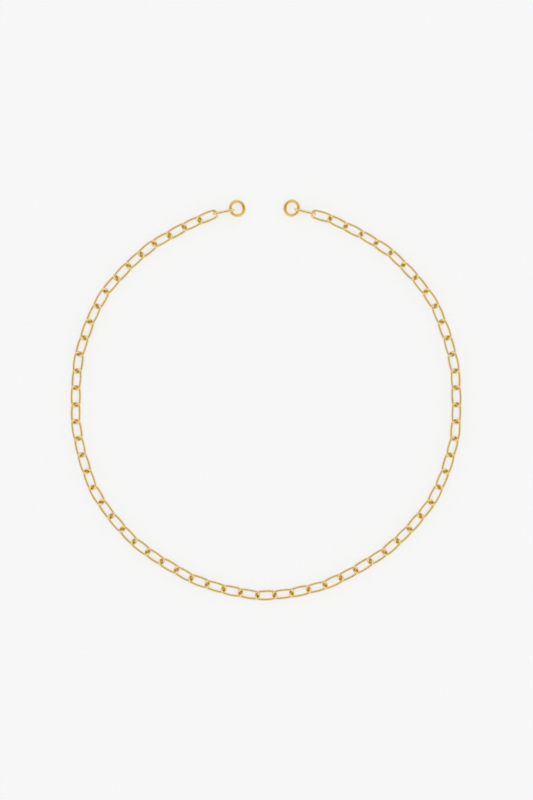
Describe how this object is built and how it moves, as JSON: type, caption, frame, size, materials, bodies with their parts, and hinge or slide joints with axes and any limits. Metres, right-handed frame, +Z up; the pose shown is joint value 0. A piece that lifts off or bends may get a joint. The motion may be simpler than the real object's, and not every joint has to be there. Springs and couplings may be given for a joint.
{
  "type": "chain necklace",
  "caption": "Paper-clip style cable chain necklace of oval round-wire links, laid in a loop, with a plain round ring at each end to take a clasp",
  "frame": {"origin": "centre of the necklace's bounding box, on the surface it lies on", "axes": "+Z up from that surface, +Y from the centre towards the gap between the two end rings, +X towards the right-hand ring's side"},
  "size_m": [0.1352, 0.1386, 0.0042],
  "materials": {
    "link_gold": "polished gold-tone wire",
    "ring_gold": "polished gold-tone wire"
  },
  "bodies": {
    "centre_links": {"centre_links": "link_gold"},
    "link_left_01": {"link_left_01": "link_gold"},
    "link_left_02": {"link_left_02": "link_gold"},
    "link_left_03": {"link_left_03": "link_gold"},
    "links_left_04_05": {"links_left_04_05": "link_gold"},
    "link_left_06": {"link_left_06": "link_gold"},
    "link_left_07": {"link_left_07": "link_gold"},
    "link_left_08": {"link_left_08": "link_gold"},
    "link_left_09": {"link_left_09": "link_gold"},
    "link_left_10": {"link_left_10": "link_gold"},
    "link_left_11": {"link_left_11": "link_gold"},
    "links_left_12_13": {"links_left_12_13": "link_gold"},
    "link_left_14": {"link_left_14": "link_gold"},
    "link_left_15": {"link_left_15": "link_gold"},
    "link_left_16": {"link_left_16": "link_gold"},
    "link_left_17": {"link_left_17": "link_gold"},
    "link_left_18": {"link_left_18": "link_gold"},
    "link_left_19": {"link_left_19": "link_gold"},
    "links_left_20_21": {"links_left_20_21": "link_gold"},
    "link_left_22": {"link_left_22": "link_gold"},
    "link_left_23": {"link_left_23": "link_gold"},
    "link_left_24": {"link_left_24": "link_gold"},
    "link_left_25": {"link_left_25": "link_gold"},
    "link_left_26": {"link_left_26": "link_gold"},
    "link_left_27": {"link_left_27": "link_gold"},
    "links_left_28_29": {"links_left_28_29": "link_gold"},
    "link_left_30": {"link_left_30": "link_gold"},
    "link_left_31": {"link_left_31": "link_gold"},
    "link_left_32": {"link_left_32": "link_gold"},
    "link_right_01": {"link_right_01": "link_gold"},
    "link_right_02": {"link_right_02": "link_gold"},
    "link_right_03": {"link_right_03": "link_gold"},
    "links_right_04_05": {"links_right_04_05": "link_gold"},
    "link_right_06": {"link_right_06": "link_gold"},
    "link_right_07": {"link_right_07": "link_gold"},
    "link_right_08": {"link_right_08": "link_gold"},
    "link_right_09": {"link_right_09": "link_gold"},
    "link_right_10": {"link_right_10": "link_gold"},
    "link_right_11": {"link_right_11": "link_gold"},
    "links_right_12_13": {"links_right_12_13": "link_gold"},
    "link_right_14": {"link_right_14": "link_gold"},
    "link_right_15": {"link_right_15": "link_gold"},
    "link_right_16": {"link_right_16": "link_gold"},
    "link_right_17": {"link_right_17": "link_gold"},
    "link_right_18": {"link_right_18": "link_gold"},
    "link_right_19": {"link_right_19": "link_gold"},
    "links_right_20_21": {"links_right_20_21": "link_gold"},
    "link_right_22": {"link_right_22": "link_gold"},
    "link_right_23": {"link_right_23": "link_gold"},
    "link_right_24": {"link_right_24": "link_gold"},
    "link_right_25": {"link_right_25": "link_gold"},
    "link_right_26": {"link_right_26": "link_gold"},
    "link_right_27": {"link_right_27": "link_gold"},
    "links_right_28_29": {"links_right_28_29": "link_gold"},
    "link_right_30": {"link_right_30": "link_gold"},
    "link_right_31": {"link_right_31": "link_gold"},
    "link_right_32": {"link_right_32": "link_gold"},
    "ring_left": {"ring_left": "ring_gold"},
    "ring_right": {"ring_right": "ring_gold"}
  },
  "joints": [
    {"name": "link_left_01_fold", "type": "hinge", "parent": "centre_links", "child": "link_left_01", "pos_m": [-0.00885, -0.06649, 0.0013], "axis": [0.185, 0.9827, 0], "range_deg": [-20, 20]},
    {"name": "link_left_02_fold", "type": "hinge", "parent": "link_left_01", "child": "link_left_02", "pos_m": [-0.01464, -0.06529, 0.0013], "axis": [0.2475, 0.9689, 0], "range_deg": [-20, 20]},
    {"name": "link_left_03_turn", "type": "hinge", "parent": "link_left_02", "child": "link_left_03", "pos_m": [-0.02082, -0.0634, 0.0013], "axis": [-0.1958, -0.5837, -0.788], "range_deg": [-22, 22]},
    {"name": "link_left_04_turn", "type": "hinge", "parent": "link_left_03", "child": "links_left_04_05", "pos_m": [-0.02634, -0.06135, 0.0013], "axis": [0.2596, 0.5583, -0.788], "range_deg": [-28, 28]},
    {"name": "link_left_06_turn", "type": "hinge", "parent": "links_left_04_05", "child": "link_left_06", "pos_m": [-0.0365, -0.05541, 0.0013], "axis": [-0.3265, -0.522, 0.788], "range_deg": [-40, 40]},
    {"name": "link_left_07_turn", "type": "hinge", "parent": "link_left_06", "child": "link_left_07", "pos_m": [-0.04133, -0.05209, 0.0013], "axis": [0.3575, 0.5013, 0.788], "range_deg": [-46, 46]},
    {"name": "link_left_08_turn", "type": "hinge", "parent": "link_left_07", "child": "link_left_08", "pos_m": [-0.04601, -0.04853, 0.0013], "axis": [0.4126, 0.4569, -0.788], "range_deg": [-52, 52]},
    {"name": "link_left_09_turn", "type": "hinge", "parent": "link_left_08", "child": "link_left_09", "pos_m": [-0.04995, -0.04413, 0.0013], "axis": [-0.4581, -0.4113, -0.788], "range_deg": [-58, 58]},
    {"name": "link_left_10_turn", "type": "hinge", "parent": "link_left_09", "child": "link_left_10", "pos_m": [-0.05381, -0.03967, 0.0013], "axis": [-0.4843, -0.3801, 0.788], "range_deg": [-60, 60]},
    {"name": "link_left_11_turn", "type": "hinge", "parent": "link_left_10", "child": "link_left_11", "pos_m": [-0.05716, -0.03481, 0.0013], "axis": [0.517, 0.3343, 0.788], "range_deg": [-60, 60]},
    {"name": "link_left_12_turn", "type": "hinge", "parent": "link_left_11", "child": "links_left_12_13", "pos_m": [-0.06014, -0.0297, 0.0013], "axis": [0.5584, 0.2593, -0.788], "range_deg": [-60, 60]},
    {"name": "link_left_14_turn", "type": "hinge", "parent": "links_left_12_13", "child": "link_left_14", "pos_m": [-0.06373, -0.01842, 0.0013], "axis": [0.5954, 0.1566, -0.788], "range_deg": [-60, 60]},
    {"name": "link_left_15_turn", "type": "hinge", "parent": "link_left_14", "child": "link_left_15", "pos_m": [-0.06491, -0.01267, 0.0013], "axis": [0.605, 0.1139, 0.788], "range_deg": [-60, 60]},
    {"name": "link_left_16_turn", "type": "hinge", "parent": "link_left_15", "child": "link_left_16", "pos_m": [-0.06582, -0.00688, 0.0013], "axis": [-0.6139, -0.0471, 0.788], "range_deg": [-60, 60]},
    {"name": "link_left_17_turn", "type": "hinge", "parent": "link_left_16", "child": "link_left_17", "pos_m": [-0.06568, -0.00102, 0.0013], "axis": [-0.6156, 0.0045, -0.788], "range_deg": [-60, 60]},
    {"name": "link_left_18_turn", "type": "hinge", "parent": "link_left_17", "child": "link_left_18", "pos_m": [-0.06563, 0.00481, 0.0013], "axis": [0.6151, -0.0262, -0.788], "range_deg": [-60, 60]},
    {"name": "link_left_19_turn", "type": "hinge", "parent": "link_left_18", "child": "link_left_19", "pos_m": [-0.06514, 0.01062, 0.0013], "axis": [0.6125, -0.0623, 0.788], "range_deg": [-60, 60]},
    {"name": "link_left_20_turn", "type": "hinge", "parent": "link_left_19", "child": "links_left_20_21", "pos_m": [-0.06438, 0.01643, 0.0013], "axis": [-0.6015, 0.1314, 0.788], "range_deg": [-60, 60]},
    {"name": "link_left_22_turn", "type": "hinge", "parent": "links_left_20_21", "child": "link_left_22", "pos_m": [-0.06058, 0.02757, 0.0013], "axis": [0.5707, -0.2309, -0.788], "range_deg": [-60, 60]},
    {"name": "link_left_23_turn", "type": "hinge", "parent": "link_left_22", "child": "link_left_23", "pos_m": [-0.05803, 0.03289, 0.0013], "axis": [-0.5473, 0.2819, -0.788], "range_deg": [-60, 60]},
    {"name": "link_left_24_turn", "type": "hinge", "parent": "link_left_23", "child": "link_left_24", "pos_m": [-0.05508, 0.03802, 0.0013], "axis": [-0.5029, 0.3551, 0.788], "range_deg": [-60, 60]},
    {"name": "link_left_25_turn", "type": "hinge", "parent": "link_left_24", "child": "link_left_25", "pos_m": [-0.05111, 0.04243, 0.0013], "axis": [0.4583, -0.4111, 0.788], "range_deg": [-60, 60]},
    {"name": "link_left_26_turn", "type": "hinge", "parent": "link_left_25", "child": "link_left_26", "pos_m": [-0.04708, 0.04675, 0.0013], "axis": [0.4317, -0.4389, -0.788], "range_deg": [-60, 60]},
    {"name": "link_left_27_turn", "type": "hinge", "parent": "link_left_26", "child": "link_left_27", "pos_m": [-0.04266, 0.05065, 0.0013], "axis": [-0.3988, 0.469, -0.788], "range_deg": [-60, 60]},
    {"name": "link_left_28_turn", "type": "hinge", "parent": "link_left_27", "child": "links_left_28_29", "pos_m": [-0.03806, 0.05431, 0.0013], "axis": [-0.3444, 0.5103, 0.788], "range_deg": [-60, 60]},
    {"name": "link_left_30_turn", "type": "hinge", "parent": "links_left_28_29", "child": "link_left_30", "pos_m": [-0.02774, 0.05994, 0.0013], "axis": [-0.279, 0.5488, 0.788], "range_deg": [-60, 60]},
    {"name": "link_left_31_turn", "type": "hinge", "parent": "link_left_30", "child": "link_left_31", "pos_m": [-0.02241, 0.06237, 0.0013], "axis": [-0.2449, 0.5649, -0.788], "range_deg": [-60, 60]},
    {"name": "link_left_32_fold", "type": "hinge", "parent": "link_left_31", "child": "link_left_32", "pos_m": [-0.01696, 0.06454, 0.00186], "axis": [-0.4225, 0.9063, 0], "range_deg": [-35, 35]},
    {"name": "ring_left_swing", "type": "hinge", "parent": "link_left_32", "child": "ring_left", "pos_m": [-0.01118, 0.06564, 0.0021], "axis": [0.0193, -0.0939, 0.9954], "range_deg": [-50, 50]},
    {"name": "link_right_01_fold", "type": "hinge", "parent": "centre_links", "child": "link_right_01", "pos_m": [0.00888, -0.06662, 0.0013], "axis": [-0.1652, 0.9863, 0], "range_deg": [-20, 20]},
    {"name": "link_right_02_fold", "type": "hinge", "parent": "link_right_01", "child": "link_right_02", "pos_m": [0.01467, -0.06534, 0.0013], "axis": [-0.2317, 0.9728, 0], "range_deg": [-20, 20]},
    {"name": "link_right_03_turn", "type": "hinge", "parent": "link_right_02", "child": "link_right_03", "pos_m": [0.02093, -0.06374, 0.0013], "axis": [0.2052, -0.5805, -0.788], "range_deg": [-20, 20]},
    {"name": "link_right_04_turn", "type": "hinge", "parent": "link_right_03", "child": "links_right_04_05", "pos_m": [0.02628, -0.06118, 0.0013], "axis": [-0.2708, 0.5529, -0.788], "range_deg": [-27, 27]},
    {"name": "link_right_06_turn", "type": "hinge", "parent": "links_right_04_05", "child": "link_right_06", "pos_m": [0.03646, -0.05532, 0.0013], "axis": [0.324, -0.5235, 0.788], "range_deg": [-39, 39]},
    {"name": "link_right_07_turn", "type": "hinge", "parent": "link_right_06", "child": "link_right_07", "pos_m": [0.04144, -0.05222, 0.0013], "axis": [-0.3676, 0.4939, 0.788], "range_deg": [-45, 45]},
    {"name": "link_right_08_turn", "type": "hinge", "parent": "link_right_07", "child": "link_right_08", "pos_m": [0.04579, -0.04825, 0.0013], "axis": [-0.42, 0.4502, -0.788], "range_deg": [-51, 51]},
    {"name": "link_right_09_turn", "type": "hinge", "parent": "link_right_08", "child": "link_right_09", "pos_m": [0.04995, -0.04411, 0.0013], "axis": [0.4514, -0.4187, -0.788], "range_deg": [-57, 57]},
    {"name": "link_right_10_turn", "type": "hinge", "parent": "link_right_09", "child": "link_right_10", "pos_m": [0.05372, -0.03958, 0.0013], "axis": [0.4766, -0.3898, 0.788], "range_deg": [-60, 60]},
    {"name": "link_right_11_turn", "type": "hinge", "parent": "link_right_10", "child": "link_right_11", "pos_m": [0.05736, -0.03494, 0.0013], "axis": [-0.5186, 0.3318, 0.788], "range_deg": [-60, 60]},
    {"name": "link_right_12_turn", "type": "hinge", "parent": "link_right_11", "child": "links_right_12_13", "pos_m": [0.05995, -0.02959, 0.0013], "axis": [-0.5596, 0.2567, -0.788], "range_deg": [-60, 60]},
    {"name": "link_right_14_turn", "type": "hinge", "parent": "links_right_12_13", "child": "link_right_14", "pos_m": [0.06378, -0.01843, 0.0013], "axis": [-0.5928, 0.1663, -0.788], "range_deg": [-60, 60]},
    {"name": "link_right_15_turn", "type": "hinge", "parent": "link_right_14", "child": "link_right_15", "pos_m": [0.06528, -0.01275, 0.0013], "axis": [-0.6068, 0.1041, 0.788], "range_deg": [-60, 60]},
    {"name": "link_right_16_turn", "type": "hinge", "parent": "link_right_15", "child": "link_right_16", "pos_m": [0.06564, -0.00687, 0.0013], "axis": [0.6147, -0.0346, 0.788], "range_deg": [-60, 60]},
    {"name": "link_right_17_turn", "type": "hinge", "parent": "link_right_16", "child": "link_right_17", "pos_m": [0.06581, -0.00102, 0.0013], "axis": [0.6157, 0.0016, -0.788], "range_deg": [-60, 60]},
    {"name": "link_right_18_turn", "type": "hinge", "parent": "link_right_17", "child": "link_right_18", "pos_m": [0.06555, 0.00481, 0.0013], "axis": [-0.6152, -0.0233, -0.788], "range_deg": [-60, 60]},
    {"name": "link_right_19_turn", "type": "hinge", "parent": "link_right_18", "child": "link_right_19", "pos_m": [0.06532, 0.01064, 0.0013], "axis": [-0.6111, -0.0748, 0.788], "range_deg": [-60, 60]},
    {"name": "link_right_20_turn", "type": "hinge", "parent": "link_right_19", "child": "links_right_20_21", "pos_m": [0.06403, 0.01635, 0.0013], "axis": [0.5993, 0.1412, 0.788], "range_deg": [-60, 60]},
    {"name": "link_right_22_turn", "type": "hinge", "parent": "links_right_20_21", "child": "link_right_22", "pos_m": [0.06046, 0.02752, 0.0013], "axis": [-0.5753, -0.2193, -0.788], "range_deg": [-60, 60]},
    {"name": "link_right_23_turn", "type": "hinge", "parent": "link_right_22", "child": "link_right_23", "pos_m": [0.05825, 0.03299, 0.0013], "axis": [0.546, 0.2845, -0.788], "range_deg": [-60, 60]},
    {"name": "link_right_24_turn", "type": "hinge", "parent": "link_right_23", "child": "link_right_24", "pos_m": [0.05491, 0.03789, 0.0014], "axis": [0.5011, 0.3576, 0.788], "range_deg": [-60, 60]},
    {"name": "link_right_25_turn", "type": "hinge", "parent": "link_right_24", "child": "link_right_25", "pos_m": [0.05121, 0.0426, 0.0014], "axis": [-0.4659, -0.4024, 0.788], "range_deg": [-60, 60]},
    {"name": "link_right_26_turn", "type": "hinge", "parent": "link_right_25", "child": "link_right_26", "pos_m": [0.04698, 0.04692, 0.0014], "axis": [-0.4371, -0.4336, -0.788], "range_deg": [-60, 60]},
    {"name": "link_right_27_turn", "type": "hinge", "parent": "link_right_26", "child": "link_right_27", "pos_m": [0.04265, 0.05113, 0.0014], "axis": [0.3885, 0.4776, -0.788], "range_deg": [-60, 60]},
    {"name": "link_right_28_turn", "type": "hinge", "parent": "link_right_27", "child": "links_right_28_29", "pos_m": [0.03759, 0.05443, 0.0014], "axis": [0.3303, 0.5195, 0.788], "range_deg": [-60, 60]},
    {"name": "link_right_30_turn", "type": "hinge", "parent": "links_right_28_29", "child": "link_right_30", "pos_m": [0.02704, 0.06016, 0.0014], "axis": [0.2744, 0.5511, 0.788], "range_deg": [-60, 60]},
    {"name": "link_right_31_turn", "type": "hinge", "parent": "link_right_30", "child": "link_right_31", "pos_m": [0.02165, 0.06281, 0.0014], "axis": [0.2248, 0.5732, -0.788], "range_deg": [-60, 60]},
    {"name": "link_right_32_fold", "type": "hinge", "parent": "link_right_31", "child": "link_right_32", "pos_m": [0.01586, 0.06445, 0.00197], "axis": [0.3428, 0.9394, 0], "range_deg": [-35, 35]},
    {"name": "ring_right_swing", "type": "hinge", "parent": "link_right_32", "child": "ring_right", "pos_m": [0.0101, 0.0658, 0.0021], "axis": [-0.0223, -0.0932, 0.9954], "range_deg": [-50, 50]}
  ]
}
